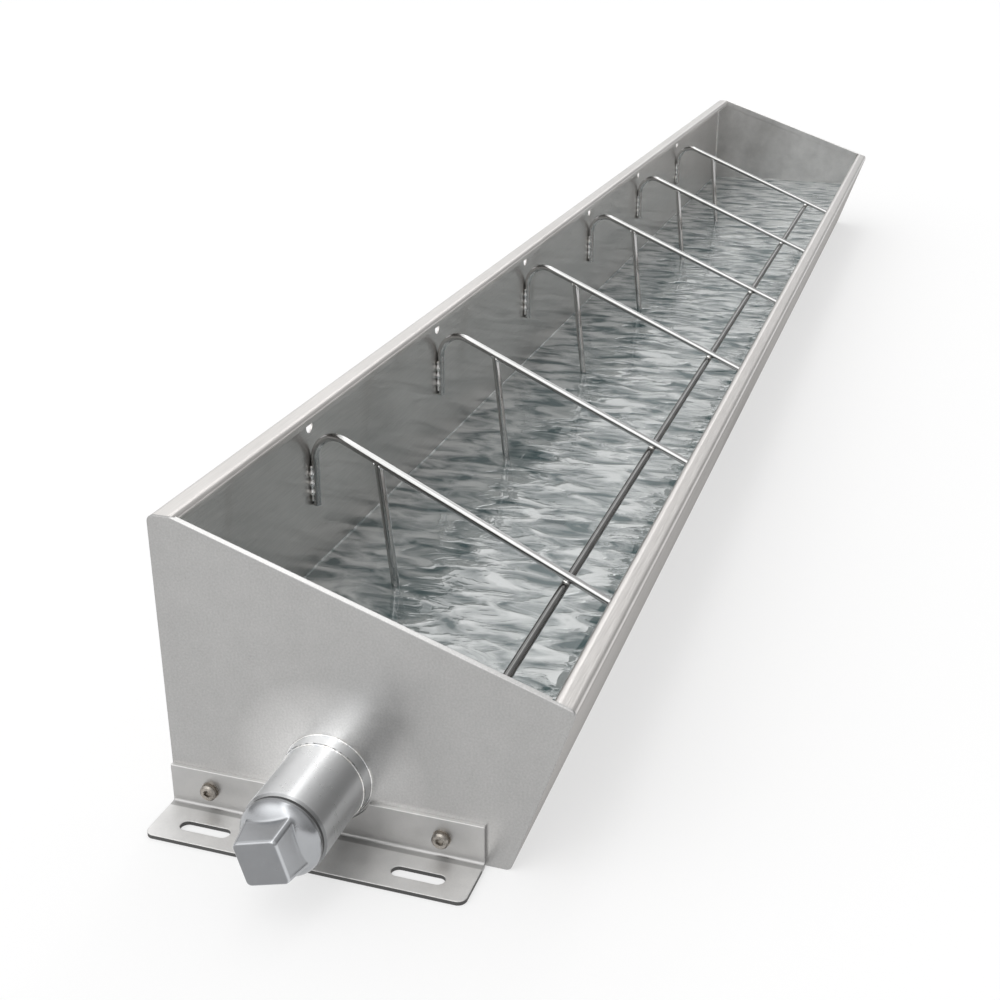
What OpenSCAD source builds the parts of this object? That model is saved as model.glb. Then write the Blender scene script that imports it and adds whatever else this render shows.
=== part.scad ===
// Long sheet-steel pig trough with a row of welded divider rods, a screw-in drain and bolted feet.
// X runs along the trough with the drain at -X, -Y is the low feeding side, Z is up from the floor.

/* [Trough] */
// Length over the outer faces of both end plates
trough_length = 2000; // [1700:10:2600]
// Width of the flat bottom
floor_width = 237; // [210:1:280]
// Height of the upright back wall
back_height = 212; // [190:1:260]
// Height of the front wall at its outer edge
front_height = 123; // [112:1:140]
// How far the front wall leans out at its top
front_flare = 41; // [25:1:60]
// Thickness of the folded sheet
sheet_thickness = 1.5; // [1:0.1:2.5]
// Inner radius of every fold in the sheet
fold_radius = 3; // [2:0.5:5]

/* [Rims] */
// Width of the flat rim along the back
back_rim_width = 17.5; // [14:0.5:24]
// Depth of the lip turned down from the back rim
back_lip_depth = 8; // [6.5:0.5:9]
// Width of the sloped rim along the front
front_rim_width = 16; // [13:0.5:20]
// Depth of the lip turned down from the front rim
front_lip_depth = 7; // [6.5:0.5:8]

/* [Wall holes] */
// Diameter of the round holes through the back wall, one above each rod
wall_hole_diameter = 11; // [8:0.5:13]
// Distance from the top of the back wall down to the middle of the holes
wall_hole_drop = 22; // [18:0.5:26]

/* [End plates] */
// Thickness of each end plate
plate_thickness = 2; // [1.5:0.1:3]
// Depth of the edge that is folded back inside along the plate's sloped top
hem_depth = 9; // [6:0.5:12]

/* [Divider rods] */
// Diameter of the round bar used for rods, legs and tie bar
rod_diameter = 6.4; // [5:0.1:8]
// Distance from the drain end to the first rod, along the back wall
first_bay = 228; // [180:1:300]
// Distance from one rod to the next
bay_pitch = 278; // [220:1:290]
// Slant of the rods in plan, with the front ends towards the drain, in degrees
rod_skew = 12; // [0:1:20]
// Radius of the hook at the back, at the bar's middle
hook_radius = 22; // [15:0.5:24]
// Height where the hook starts to bend
hook_height = 163; // [150:1:175]
// Length of the straight stub welded down the back wall
stub_length = 38; // [25:1:60]
// Height at which a rod meets the front wall
rod_end_height = 100; // [92:1:108]

/* [Legs and tie bar] */
// Distance along the rod from the end of its hook to its leg
leg_setback = 32; // [20:1:45]
// Lean of a leg from upright, in degrees
leg_lean = 7; // [3:0.5:12]
// Radius of the bend at the foot of a leg, at the bar's middle
leg_bend_radius = 18; // [12:1:25]
// Straight run of a leg along the bottom
leg_foot_length = 38; // [20:1:60]
// Distance along the rod from the front wall to the tie bar
tie_setback = 51; // [35:1:70]
// How far the tie bar runs past the last rod
tie_overhang = 8; // [5:1:20]

/* [Feet] */
// Length of each foot bracket
foot_length = 221; // [200:1:230]
// Depth of the flange that stands on the floor
foot_depth = 42; // [36:1:55]
// Height of the bracket's upright
foot_height = 31; // [27:1:36]
// Thickness of the bracket
foot_thickness = 3; // [2:0.5:4]
// Inner radius of the bracket's fold
foot_fold_radius = 2; // [1:0.5:3]
// Radius of the flange's outer corners
foot_corner_radius = 6; // [3:0.5:9]
// Distance from each end of the bracket to its screw
screw_inset = 28.5; // [20:0.5:34]
// Height of the screws
screw_height = 16.5; // [14:0.5:18]
// Distance from each end of the bracket to the middle of its slot
slot_inset = 36; // [30:0.5:45]
// Length of a slot, end to end
slot_length = 36; // [22:1:40]
// Width of a slot
slot_width = 10; // [8:0.5:12]
// Distance from the end plate to the middle of the slots
slot_reach = 26; // [22:0.5:28]

/* [Fasteners] */
// Diameter of the screws
screw_diameter = 6; // [5:0.5:7]
// Diameter of a screw's head
head_diameter = 11.5; // [9:0.5:12]
// Height of a screw's head
head_height = 4; // [3.5:0.5:6]
// Chamfer round a screw's head
head_chamfer = 1.1; // [0.5:0.1:1.5]
// Width of the hexagon socket across its corners
socket_width = 5.4; // [4.5:0.1:6]
// Depth of the hexagon socket
socket_depth = 2.5; // [2:0.5:3]
// Diameter of the flat washers
washer_diameter = 12.5; // [12:0.5:15]
// Thickness of the flat washers
washer_thickness = 1; // [0.8:0.1:2]
// Diameter of the rubber sealing washers inside
seal_diameter = 14; // [12:0.5:16]
// Thickness of the rubber sealing washers
seal_thickness = 2; // [1:0.1:3]
// Width of a cap nut across its corners
nut_width = 11.5; // [10.5:0.1:13]
// Height of a cap nut's hexagon
nut_height = 5; // [4:0.5:7]

/* [Drain] */
// Height of the drain's middle
drain_height = 45; // [43:0.5:52]
// Sideways place of the drain's middle
drain_side = 4; // [-10:0.5:10]
// Outer diameter of the drain socket
socket_od = 56; // [54:0.5:60]
// Threaded bore of the drain socket
drain_bore = 47.9; // [42:0.1:49]
// How far the socket stands out from the end plate
socket_reach = 64; // [50:1:80]
// Wall of the collar round the socket at the end plate
collar_wall = 1.5; // [1.2:0.1:4]
// Length of the collar
collar_length = 9; // [6:0.5:14]
// Width of the chamfer at the socket's mouth
mouth_chamfer = 1.5; // [0.5:0.1:2]
// Size of the weld beads on the drain
drain_bead = 1.2; // [0.8:0.1:1.3]

/* [Plug] */
// Clearance between plug and socket, on the radius
plug_clearance = 0.05; // [0.02:0.01:0.1]
// Length of the plug's shank inside the socket
plug_shank_length = 22; // [15:1:30]
// Thickness of the flat gasket
gasket_thickness = 2; // [1:0.1:3]
// Diameter of the plug's shoulder
shoulder_diameter = 54; // [50:0.5:54]
// Height of the shoulder's straight edge
shoulder_edge = 2; // [1:0.5:4]
// Rise of the shoulder's dome
dome_rise = 11; // [8:0.5:13]
// Width of the square head at the foot of the dome
head_base_width = 36; // [30:0.5:37]
// Width of the square head at its face
head_face_width = 30; // [22:0.5:32]
// Height of the plug over the gasket
plug_height = 29; // [24:0.5:36]
// Radius of the head's rounded corners
head_corner_radius = 4.5; // [3:0.5:6]
// Rounding of the edge round the head's face
head_edge = 1.8; // [1:0.1:2.5]
// Turn of the square head at rest, in degrees
head_turn = 17; // [0:1:45]

/* [Welds] */
// Size of the small weld blobs on the rods
weld_radius = 2.4; // [1.6:0.1:2.8]
// Gap left between pieces that are welded together
weld_gap = 0.1; // [0.05:0.05:0.3]

/* [Hidden] */
// Clearance of the screws in their holes
screw_clearance = 0.2;
// Clearance between a screw and its nut
thread_clearance = 0.05;
// Gap between a leg's foot and the trough's bottom
floor_gap = 0.3;
// Room between the drain and the notch in the bracket
notch_clearance = 1;
// Room between the end plates' folded edges and the lips of the rims
hem_clearance = 1;
// Room between the plug's shank and the gasket
gasket_clearance = 0.4;
// How far cuts run past what they cut
overrun = 1;
// Straight steps in each fold of the sheet
fold_steps = 8;
// Number of divider rods
rod_count = 6;
// Share of a blob's size that its middle stands off the bar
blob_share = 0.45;
// Share of a cap nut's half width that its dome takes
nut_dome_share = 0.94;
// Spare depth of the thread in a cap nut
nut_hole_spare = 1;
// Straight steps in the plug's dome
dome_steps = 16;
// Straight steps in the rounding round the plug's face
edge_steps = 4;
// How much thicker a bend is than its bar, on the radius
bend_swell = 0.02;
// How far a straight bar runs into its bend
bend_lap = 0.4;
// Shares of the stub at which its weld blobs sit
stub_weld_shares = [0.2, 0.5, 0.8];
$fn = 64;

rod_r = rod_diameter / 2;
half_length = trough_length / 2;
half_floor = floor_width / 2;
shell_length = trough_length - 2 * plate_thickness;
fold_out = fold_radius + sheet_thickness;

// Front wall: unit vector up along it and the unit normal that points into the trough
front_run = norm([front_flare, front_height]);
front_up = [-front_flare, front_height] / front_run;
front_in = [front_height, front_flare] / front_run;

// Corners of the section's outer face, as [y, z], from the back rim round to the front rim
back_rim_in = [half_floor - back_rim_width, back_height];
back_rim_out = [half_floor, back_height];
back_floor = [half_floor, 0];
front_floor = [-half_floor, 0];
front_rim_out = [-half_floor - front_flare, front_height];
front_rim_in = front_rim_out + front_rim_width * front_in;
back_lip_end = back_rim_in - [0, back_lip_depth];
front_lip_end = front_rim_in - front_lip_depth * front_up;
rim_path = [back_rim_in, back_rim_out, back_floor, front_floor, front_rim_out, front_rim_in];
shell_path = concat([back_lip_end], rim_path, [front_lip_end]);

// Folded edge along an end plate's sloped top, as [y, z]
top_run = (front_rim_in - back_rim_in) / norm(front_rim_in - back_rim_in);
hem_down = hem_depth * [-top_run[1], top_run[0]];
hem_back = back_rim_in + hem_clearance * top_run;
hem_front = front_rim_in - hem_clearance * top_run;

wall_face = half_floor - sheet_thickness;
wall_hole_height = back_height - wall_hole_drop;

// A rod in its own upright plane, which turns about the stub, as [y, z]: hook, straight run and front end
hook_start = [wall_face - rod_r - weld_gap, hook_height];
hook_middle = hook_start - [hook_radius, 0];
front_at_end = [-half_floor - front_flare * rod_end_height / front_height, rod_end_height];
rod_seat = front_at_end + (sheet_thickness + weld_gap) * front_in;
rod_end = [hook_start[0] - (hook_start[0] - rod_seat[0]) / cos(rod_skew), rod_seat[1]];
to_end = rod_end - hook_middle;
rod_slope = atan2(-to_end[1], -to_end[0]) + asin(hook_radius / norm(to_end));
rod_dir = [-cos(rod_slope), -sin(rod_slope)];
rod_down = [sin(rod_slope), -cos(rod_slope)];
hook_end = hook_middle - hook_radius * rod_down;
rod_run = norm(rod_end - hook_end);

// A leg: where its middle line leaves the rod, and the bend at its foot
leg_top = hook_end + leg_setback * rod_dir;
leg_dir = [-sin(leg_lean), -cos(leg_lean)];
leg_foot_z = sheet_thickness + rod_r + floor_gap;
leg_bend_z = leg_foot_z + leg_bend_radius;
leg_run = (leg_top[1] - leg_bend_z + leg_bend_radius * sin(leg_lean)) / cos(leg_lean);
leg_bottom = leg_top + leg_run * leg_dir;
leg_bend_middle = leg_bottom - leg_bend_radius * [cos(leg_lean), -sin(leg_lean)];

// The tie bar runs along X under the rods, where their slope across the trough is a little steeper
tie_on_rod = rod_end - tie_setback * rod_dir;
across_slope = atan(tan(rod_slope) / cos(rod_skew));
tie_down = [sin(across_slope), -cos(across_slope)];
tie_crossing = in_trough(rod_count, tie_on_rod);
tie_middle = [tie_crossing[1], tie_crossing[2]] + (rod_diameter + weld_gap) * tie_down;
tie_start = -half_length + plate_thickness + weld_gap;
tie_end = tie_crossing[0] + tie_overhang;

// Feet
foot_back = half_floor;
foot_front = foot_back - foot_length;
// A screw is set in from the bracket's end or the bottom's edge, whichever lies further in
screw_front = max(foot_front, -half_floor) + screw_inset;
screw_sides = [foot_back - screw_inset, screw_front];
slot_sides = [foot_back - slot_inset, foot_front + slot_inset];
screw_r = screw_diameter / 2;
screw_seat = foot_thickness + washer_thickness;
nut_seat = plate_thickness + seal_thickness;
nut_flat_r = nut_width * cos(30) / 2;
nut_dome_r = nut_flat_r * nut_dome_share;
screw_end = nut_seat + nut_height;

// Drain
socket_r = socket_od / 2;
bore_r = drain_bore / 2;
shank_r = bore_r - plug_clearance;
gasket_out = socket_reach + gasket_thickness;
dome_base = gasket_out + shoulder_edge;
plug_face_at = gasket_out + plug_height;
collar_r = socket_r + weld_gap + collar_wall;
notch_r = collar_r + drain_bead + notch_clearance;
shank_start = socket_reach - plug_shank_length;
shoulder_r = shoulder_diameter / 2;

function rod_x(i) = -half_length + first_bay + (i - 1) * bay_pitch;

// Place in the trough, as [x, y, z], of a point in the plane of rod number i
function in_trough(i, p) =
    let (reach = hook_start[0] - p[0])
    [rod_x(i) - reach * sin(rod_skew), hook_start[0] - reach * cos(rod_skew), p[1]];

function numbered(name) = [for (i = [1 : rod_count]) str(name, i)];

// Folded sheet: the face's corners become arcs, and the sheet lies on the right of the path
function heading(p, i) = (p[i + 1] - p[i]) / norm(p[i + 1] - p[i]);

function right_of(v) = [v[1], -v[0]];

function turned(v, a) = [v[0] * cos(a) - v[1] * sin(a), v[0] * sin(a) + v[1] * cos(a)];

function fold_arc(p, i, r_face, r) =
    let (
        a = heading(p, i - 1),
        turn = acos(a * heading(p, i)),
        middle = p[i] - a * r_face * tan(turn / 2) + right_of(a) * r_face
    )
    [for (k = [0 : fold_steps]) middle + turned(-right_of(a) * r, -turn * k / fold_steps)];

function face_points(p, r_face, inset) =
    let (last = len(p) - 1)
    concat(
        [p[0] + inset * right_of(heading(p, 0))],
        [for (i = [1 : last - 1]) each fold_arc(p, i, r_face, r_face - inset)],
        [p[last] + inset * right_of(heading(p, last - 1))]
    );

function backwards(p) = [for (i = [len(p) - 1 : -1 : 0]) p[i]];

function folded_sheet(p, r_face, thickness) =
    concat(face_points(p, r_face, 0), backwards(face_points(p, r_face, thickness)));

// Draws a [y, z] outline and runs it along X
module along_x(start, length) {
    translate([start, 0, 0])
        rotate([90, 0, 90])
            linear_extrude(length)
                children();
}

// Places a drawing of [y, z] in the plane of rod number i
module in_rod_plane(i) {
    translate([rod_x(i), hook_start[0], 0])
        rotate([0, 0, -rod_skew])
            rotate([90, 0, 90])
                translate([-hook_start[0], 0, 0])
                    children();
}

// Straight bar in a rod's plane, from p along a unit vector
module bar(p, direction, length, r = rod_r) {
    translate([p[0], p[1], 0])
        rotate([0, 0, atan2(direction[1], direction[0])])
            rotate([0, 90, 0])
                cylinder(h = length, r = r);
}

// Bent bar in a rod's plane, turning from one angle by another
module bend(middle, radius, from, by) {
    translate([middle[0], middle[1], 0])
        rotate([0, 0, from])
            rotate_extrude(angle = by)
                translate([radius, 0])
                    circle(r = rod_r + bend_swell);
}

module at_far_end(far) {
    mirror([far ? 1 : 0, 0, 0])
        children();
}

// Puts children, drawn along +Z from the end plate's outer face, on the drain's axis, pointing out
module on_drain_axis() {
    translate([-half_length, drain_side, drain_height])
        rotate([0, -90, 0])
            children();
}

// Puts children on both screws' axes, pointing out of the trough from the end plate's outer face
module on_screw_axes() {
    for (y = screw_sides)
        translate([-half_length, y, screw_height])
            rotate([0, -90, 0])
                children();
}

module ring(r_out, r_in, length) {
    difference() {
        cylinder(h = length, r = r_out);
        translate([0, 0, -overrun])
            cylinder(h = length + 2 * overrun, r = r_in);
    }
}

// What is cut away for the holes in the back wall
module wall_hole_cuts() {
    for (i = [1 : rod_count])
        translate([rod_x(i), wall_face - overrun, wall_hole_height])
            rotate([-90, 0, 0])
                cylinder(h = sheet_thickness + 2 * overrun, d = wall_hole_diameter);
}

module trough_shell() {
    color("silver")
        difference() {
            along_x(-shell_length / 2, shell_length)
                polygon(folded_sheet(shell_path, fold_out, sheet_thickness));
            wall_hole_cuts();
        }
}

module end_plate(drained) {
    along_x(-half_length + plate_thickness, plate_thickness)
        polygon([hem_back, hem_front, hem_front + hem_down, hem_back + hem_down]);
    difference() {
        along_x(-half_length, plate_thickness)
            polygon(face_points(rim_path, fold_out, 0));
        on_screw_axes()
            translate([0, 0, -plate_thickness - overrun])
                cylinder(h = plate_thickness + 2 * overrun, r = screw_r + screw_clearance);
        if (drained)
            on_drain_axis()
                translate([0, 0, -plate_thickness - overrun])
                    cylinder(h = plate_thickness + 2 * overrun, r = socket_r + weld_gap);
    }
}

module end_plate_drain() {
    color("gainsboro")
        end_plate(true);
}

module end_plate_far() {
    color("gainsboro")
        at_far_end(true)
            end_plate(false);
}

// One slot through the foot flange
module foot_slot(y) {
    half_run = (slot_length - slot_width) / 2;
    cut = foot_thickness + 2 * overrun;
    translate([-half_length - slot_reach, y, -overrun]) {
        for (side = [-1, 1])
            translate([0, side * half_run, 0])
                cylinder(h = cut, d = slot_width);
        translate([-slot_width / 2, -half_run, 0])
            cube([slot_width, 2 * half_run, cut]);
    }
}

// What is cut away to round the flange's two outer corners
module foot_corner_cuts() {
    cut = foot_thickness + 2 * overrun;
    block = foot_corner_radius + overrun;
    for (side = [-1, 1]) {
        y = side < 0 ? foot_front + foot_corner_radius : foot_back - foot_corner_radius;
        translate([-half_length - foot_depth + foot_corner_radius, y, -overrun])
            difference() {
                translate([-block, side < 0 ? -block : 0, 0])
                    cube([block, block, cut]);
                translate([0, 0, -overrun])
                    cylinder(h = cut + 2 * overrun, r = foot_corner_radius);
            }
    }
}

module foot_bracket(drained) {
    path = [[0, foot_height], [0, 0], [-foot_depth, 0]];
    difference() {
        translate([-half_length, foot_back, 0])
            rotate([90, 0, 0])
                linear_extrude(foot_length)
                    polygon(folded_sheet(path, foot_fold_radius + foot_thickness, foot_thickness));
        foot_corner_cuts();
        for (y = slot_sides)
            foot_slot(y);
        on_screw_axes()
            translate([0, 0, -overrun])
                cylinder(h = foot_thickness + 2 * overrun, r = screw_r + screw_clearance);
        if (drained)
            on_drain_axis()
                translate([0, 0, -overrun])
                    cylinder(h = foot_thickness + 2 * overrun, r = notch_r);
    }
}

module foot_bracket_drain() {
    color("lightgray")
        foot_bracket(true);
}

module foot_bracket_far() {
    color("lightgray")
        at_far_end(true)
            foot_bracket(false);
}

// Socket-head screw, drawn along +Z out of the trough
module foot_screw() {
    head_r = head_diameter / 2;
    head_top = screw_seat + head_height;
    difference() {
        rotate_extrude()
            polygon([
                [0, -screw_end],
                [screw_r, -screw_end],
                [screw_r, screw_seat],
                [head_r, screw_seat],
                [head_r, head_top - head_chamfer],
                [head_r - head_chamfer, head_top],
                [0, head_top]
            ]);
        translate([0, 0, head_top - socket_depth])
            cylinder(h = socket_depth + overrun, d = socket_width, $fn = 6);
    }
}

module foot_screws(far) {
    color("dimgray")
        at_far_end(far)
            on_screw_axes()
                foot_screw();
}

module foot_washers(far) {
    color("silver")
        at_far_end(far)
            on_screw_axes()
                translate([0, 0, foot_thickness])
                    ring(washer_diameter / 2, screw_r + screw_clearance, washer_thickness);
}

module foot_seals(far) {
    color("black")
        at_far_end(far)
            on_screw_axes()
                translate([0, 0, -nut_seat])
                    ring(seal_diameter / 2, screw_r + screw_clearance, seal_thickness);
}

// Cap nut, drawn along +Z into the trough
module cap_nut() {
    difference() {
        union() {
            cylinder(h = nut_height, d = nut_width, $fn = 6);
            translate([0, 0, nut_height])
                sphere(r = nut_dome_r);
        }
        translate([0, 0, -nut_dome_r])
            cylinder(h = nut_dome_r + nut_height + nut_hole_spare, r = screw_r + thread_clearance);
    }
}

module foot_nuts(far) {
    color("silver")
        at_far_end(far)
            on_screw_axes()
                translate([0, 0, -nut_seat])
                    mirror([0, 0, 1])
                        cap_nut();
}

module drain_socket() {
    color("lightsteelblue")
        on_drain_axis()
            rotate_extrude()
                polygon([
                    [bore_r, -plate_thickness],
                    [socket_r, -plate_thickness],
                    [socket_r, socket_reach - mouth_chamfer],
                    [socket_r - mouth_chamfer, socket_reach],
                    [bore_r, socket_reach]
                ]);
}

module drain_collar() {
    color("silver")
        on_drain_axis()
            ring(collar_r, socket_r + weld_gap, collar_length);
}

// Quarter-round weld bead in the corner at radius r and height z
module weld_bead(r, z) {
    rotate_extrude()
        translate([r + weld_gap, z + weld_gap])
            intersection() {
                circle(r = drain_bead);
                square(drain_bead);
            }
}

module drain_welds() {
    color("darkgray")
        on_drain_axis() {
            weld_bead(collar_r, 0);
            weld_bead(socket_r, collar_length);
        }
}

module drain_gasket() {
    color("dimgray")
        on_drain_axis()
            translate([0, 0, socket_reach])
                ring(socket_r - mouth_chamfer, shank_r + gasket_clearance, gasket_thickness);
}

// Corner of the plug's head: a disc with a rounded upper edge
module head_corner() {
    r = head_corner_radius;
    rounding = [
        for (k = [0 : edge_steps])
            let (a = 90 * k / edge_steps)
            [r - head_edge + head_edge * cos(a), head_edge * sin(a)]
    ];
    rotate_extrude($fn = 32)
        polygon(concat([[0, 0]], rounding, [[0, head_edge]]));
}

// Square head of the plug, tapering to its face
module plug_head() {
    r = head_corner_radius;
    rotate([0, 0, head_turn])
        hull()
            for (end = [[head_base_width, dome_base], [head_face_width, plug_face_at - head_edge]])
                for (sx = [-1, 1], sy = [-1, 1])
                    translate([sx * (end[0] / 2 - r), sy * (end[0] / 2 - r), end[1]])
                        head_corner();
}

module drain_plug() {
    dome = [
        for (k = [0 : dome_steps])
            let (a = 90 * k / dome_steps)
            [shoulder_r * cos(a), dome_base + dome_rise * sin(a)]
    ];
    color("lightslategray")
        on_drain_axis() {
            rotate_extrude()
                polygon(concat(
                    [
                        [0, shank_start],
                        [shank_r - mouth_chamfer, shank_start],
                        [shank_r, shank_start + mouth_chamfer],
                        [shank_r, gasket_out],
                        [shoulder_r, gasket_out]
                    ],
                    dome
                ));
            plug_head();
        }
}

// The front wall's room at the end of rod number i
module front_wall_cut(i) {
    block = 4 * rod_diameter;
    translate(in_trough(i, rod_end))
        rotate([90, 0, 90])
            rotate([0, 0, atan2(front_in[1], front_in[0])])
                translate([-block, -block / 2, -block / 2])
                    cube(block);
}

module divider_rod(i) {
    color("whitesmoke")
        difference() {
            in_rod_plane(i) {
                bar(hook_start - [0, stub_length], [0, 1], stub_length + bend_lap);
                bend(hook_middle, hook_radius, 0, 90 + rod_slope);
                bar(hook_end - bend_lap * rod_dir, rod_dir, rod_run + bend_lap + rod_diameter);
            }
            front_wall_cut(i);
        }
}

module divider_leg(i) {
    color("whitesmoke")
        in_rod_plane(i)
            difference() {
                union() {
                    bar(leg_top, leg_dir, leg_run + bend_lap);
                    bend(leg_bend_middle, leg_bend_radius, -90, 90 - leg_lean);
                    bar([leg_bend_middle[0] + bend_lap, leg_foot_z], [-1, 0], leg_foot_length + bend_lap);
                }
                rod_cut(leg_top);
            }
}

// Room for the rod around a point on its straight run
module rod_cut(p) {
    reach = 2 * rod_diameter;
    bar(p - reach * rod_dir, rod_dir, 2 * reach, rod_r + weld_gap);
}

module tie_run(r) {
    translate([tie_start, tie_middle[0], tie_middle[1]])
        rotate([0, 90, 0])
            cylinder(h = tie_end - tie_start, r = r);
}

module tie_bar() {
    color("whitesmoke")
        tie_run(rod_r);
}

// Weld blob with its pole turned to the side that stays free
module weld_blob(free) {
    rotate([0, acos(free[2] / norm(free)), atan2(free[1], free[0])])
        sphere(r = weld_radius);
}

// Weld blobs beside each stub on the back wall
module stub_welds() {
    stand_off = blob_share * weld_radius;
    low = hook_height - stub_length - weld_radius;
    run = stub_length + 2 * weld_radius;
    color("darkgray")
        for (i = [1 : rod_count], side = [-1, 1], share = stub_weld_shares) {
            x = rod_x(i) + side * (rod_r + stand_off);
            difference() {
                translate([x, wall_face - stand_off, hook_height - share * stub_length])
                    weld_blob([side, -1, 0]);
                translate([rod_x(i), hook_start[0], low])
                    cylinder(h = run, r = rod_r + weld_gap);
                translate([x - 2 * weld_radius, wall_face - weld_gap, low])
                    cube([4 * weld_radius, 2 * weld_radius, run]);
            }
        }
}

// Weld blobs before and behind the top of each leg
module leg_welds() {
    stand_off = blob_share * weld_radius;
    depth = rod_r + stand_off;
    along = depth * (leg_dir * rod_dir) / (leg_dir * rod_down);
    half_width = rod_r / (leg_dir * rod_down);
    color("darkgray")
        for (i = [1 : rod_count], side = [-1, 1]) {
            p = leg_top + depth * rod_down + (along + side * (half_width + stand_off)) * rod_dir;
            free = rod_down + side * rod_dir;
            in_rod_plane(i)
                difference() {
                    difference() {
                        translate([p[0], p[1], 0])
                            weld_blob([free[0], free[1], 0]);
                        rod_cut(leg_top);
                    }
                    bar(leg_top, leg_dir, leg_run, rod_r + weld_gap);
                }
        }
}

// Weld blobs on both sides of each rod where the tie bar crosses under it
module tie_welds() {
    touch = (rod_r + weld_gap / 2) * tie_down;
    beside = weld_radius * (1 + blob_share);
    color("darkgray")
        for (i = [1 : rod_count], side = [-1, 1])
            difference() {
                difference() {
                    translate(in_trough(i, tie_on_rod) + [side * beside, touch[0], touch[1]])
                        weld_blob([side, -tie_down[0], -tie_down[1]]);
                    in_rod_plane(i)
                        rod_cut(tie_on_rod);
                }
                tie_run(rod_r + weld_gap);
            }
}

// Weld blobs on both sides of each rod's end at the front wall
module rod_end_welds() {
    stand_off = blob_share * weld_radius;
    beside = rod_r / cos(rod_skew) + stand_off;
    off_wall = stand_off * front_in;
    color("darkgray")
        for (i = [1 : rod_count], side = [-1, 1])
            difference() {
                translate(in_trough(i, rod_end) + [side * beside, off_wall[0], off_wall[1]])
                    weld_blob([side, front_in[0], front_in[1]]);
                in_rod_plane(i)
                    rod_cut(rod_end);
                front_wall_cut(i);
            }
}

trough_shell();
end_plate_drain();
end_plate_far();
foot_bracket_drain();
foot_bracket_far();
foot_screws(false);  // foot_screws_drain
foot_screws(true);  // foot_screws_far
foot_washers(false);  // foot_washers_drain
foot_washers(true);  // foot_washers_far
foot_seals(false);  // foot_seals_drain
foot_seals(true);  // foot_seals_far
foot_nuts(false);  // foot_nuts_drain
foot_nuts(true);  // foot_nuts_far
drain_socket();
drain_collar();
drain_welds();
drain_gasket();
drain_plug();
for (i = [1 : rod_count]) divider_rod(i);
for (i = [1 : rod_count]) divider_leg(i);
tie_bar();
stub_welds();
leg_welds();
tie_welds();
rod_end_welds();
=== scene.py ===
"""Looks of the pig feeder: finishes, weld beads, plug, screws, water, floor, light and camera.

Pieces are drawn in millimetres and built in metres, in the frame of the CAD model.
"""

import math

import bmesh
import bpy
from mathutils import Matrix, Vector, noise


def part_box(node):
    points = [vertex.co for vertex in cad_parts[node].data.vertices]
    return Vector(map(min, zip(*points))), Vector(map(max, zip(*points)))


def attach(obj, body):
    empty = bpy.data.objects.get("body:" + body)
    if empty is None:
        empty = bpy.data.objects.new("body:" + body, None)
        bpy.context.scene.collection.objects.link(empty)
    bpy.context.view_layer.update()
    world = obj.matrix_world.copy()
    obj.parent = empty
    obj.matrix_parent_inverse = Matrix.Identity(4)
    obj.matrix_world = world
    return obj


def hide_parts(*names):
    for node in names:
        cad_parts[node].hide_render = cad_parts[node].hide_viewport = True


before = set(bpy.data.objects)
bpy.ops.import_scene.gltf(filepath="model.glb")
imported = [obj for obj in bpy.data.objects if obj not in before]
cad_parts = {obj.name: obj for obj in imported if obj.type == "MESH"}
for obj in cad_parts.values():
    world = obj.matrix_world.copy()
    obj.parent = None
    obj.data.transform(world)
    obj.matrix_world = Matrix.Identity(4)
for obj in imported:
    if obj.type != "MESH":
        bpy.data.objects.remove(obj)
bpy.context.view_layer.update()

MM = 0.001
TURN = 2 * math.pi
X, Y, Z = range(3)
ALONG = Vector((1, 0, 0))
UPWARD = Vector((0, 0, 1))


def lowest(node, axis):
    """Least place of a CAD node along an axis, in millimetres."""
    return round(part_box(node)[0][axis] / MM, 2)


def highest(node, axis):
    """Greatest place of a CAD node along an axis, in millimetres."""
    return round(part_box(node)[1][axis] / MM, 2)


def midway(node, axis):
    return (lowest(node, axis) + highest(node, axis)) / 2


def half_size(node, axis):
    return (highest(node, axis) - lowest(node, axis)) / 2


def out_from(node):
    """Where a node at the drain end starts, out from the end plate's outer face."""
    return -highest(node, X) - HALF_LENGTH


def out_to(node):
    """Where a node at the drain end stops, out from the end plate's outer face."""
    return -lowest(node, X) - HALF_LENGTH


# Camera fitted to the photograph, in metres, radians and millimetres of lens
CAMERA_PLACE = Vector((-1.6816, -0.3360, 0.5630))
CAMERA_YAW = 0.318
CAMERA_PITCH = 0.408
CAMERA_LENS = 50.4
CAMERA_SENSOR = 36
CAMERA_CLIP = (0.01, 500)

# Sizes and a count that the CAD nodes give, in millimetres
HALF_LENGTH = highest("end_plate_far", X)
PLATE = HALF_LENGTH - highest("trough_shell", X)
HALF_FLOOR = highest("trough_shell", Y)
BACK_HEIGHT = highest("trough_shell", Z)
ROD_COUNT = sum(node.startswith("divider_rod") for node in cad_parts)
ROD_R = half_size("tie_bar", Z)
BAY_PITCH = lowest("divider_rod_2", X) - lowest("divider_rod_1", X)
DRAIN_SIDE = midway("drain_socket", Y)
DRAIN_HEIGHT = midway("drain_socket", Z)
SOCKET_R = half_size("drain_socket", Z)
SOCKET_REACH = out_to("drain_socket")
COLLAR_R = half_size("drain_collar", Z)
COLLAR_LENGTH = out_to("drain_collar")
FOOT_PLATE = out_from("foot_washers_drain")
FOOT_HEIGHT = highest("foot_bracket_drain", Z)
SEAL_R = half_size("foot_seals_drain", Z)
SCREW_SIDES = (highest("foot_seals_drain", Y) - SEAL_R, lowest("foot_seals_drain", Y) + SEAL_R)
SCREW_HEIGHT = midway("foot_screws_drain", Z)

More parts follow.
